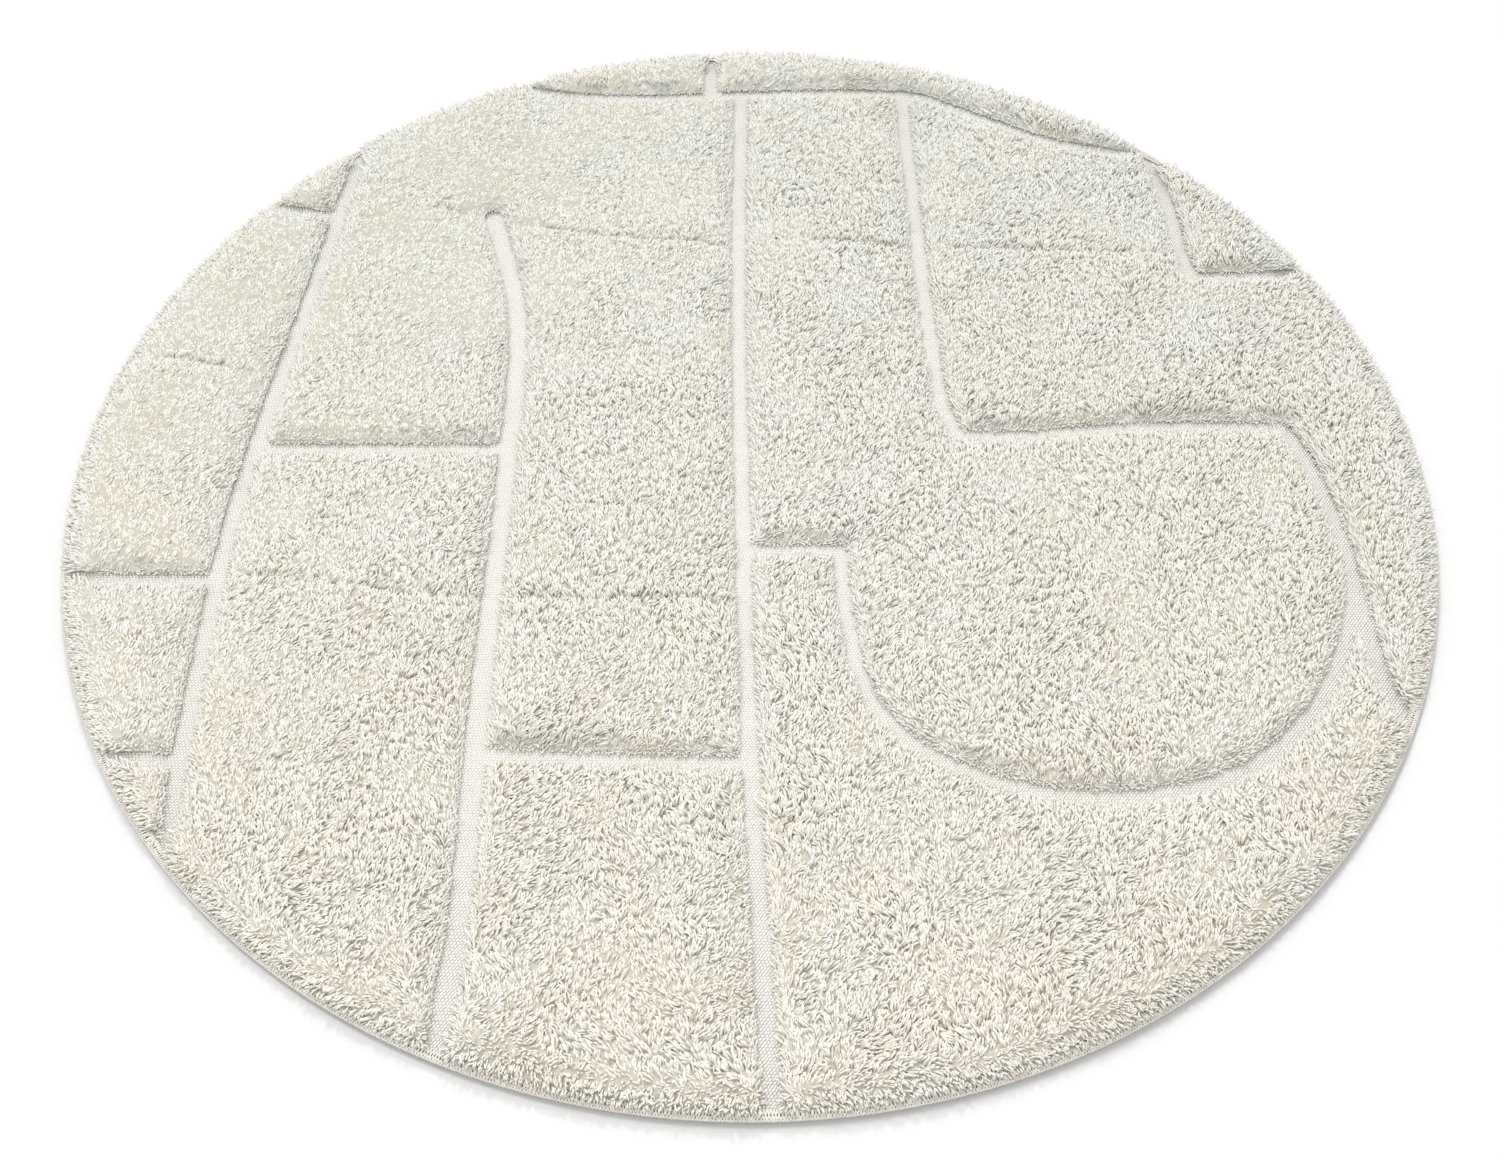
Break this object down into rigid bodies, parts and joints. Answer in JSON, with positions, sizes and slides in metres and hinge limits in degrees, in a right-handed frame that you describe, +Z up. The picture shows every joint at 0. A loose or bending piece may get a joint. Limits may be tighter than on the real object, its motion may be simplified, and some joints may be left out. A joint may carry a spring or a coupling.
{
  "type": "round tufted bath mat",
  "caption": "Round cotton bath mat with fields of cut pile parted by flat channels, a woven ground, a latex back and an overlocked rim.",
  "frame": {"origin": "centre of the underside, which lies on the floor", "axes": "+Z up out of the pile, +Y towards the rim beside the long cross channel, +X to the right of it"},
  "size_m": [0.8, 0.8, 0.013],
  "materials": {
    "pile_yarn": "matte",
    "ground_cloth": "matte",
    "overlock_thread": "matte",
    "latex": "matte"
  },
  "bodies": {
    "root": {"latex_coat": "latex", "ground_cloth": "ground_cloth", "overlocked_edge": "overlock_thread", "pile_left_back_sliver": "pile_yarn", "pile_left_back": "pile_yarn", "pile_left_middle": "pile_yarn", "pile_left_front_sliver": "pile_yarn", "pile_split_back_left": "pile_yarn", "pile_front_left": "pile_yarn", "pile_front_centre": "pile_yarn", "pile_bay_right": "pile_yarn", "pile_front_right": "pile_yarn", "pile_back_right": "pile_yarn", "pile_right_corner": "pile_yarn", "pile_rim_back_left": "pile_yarn", "pile_rim_back_right": "pile_yarn"}
  },
  "joints": []
}
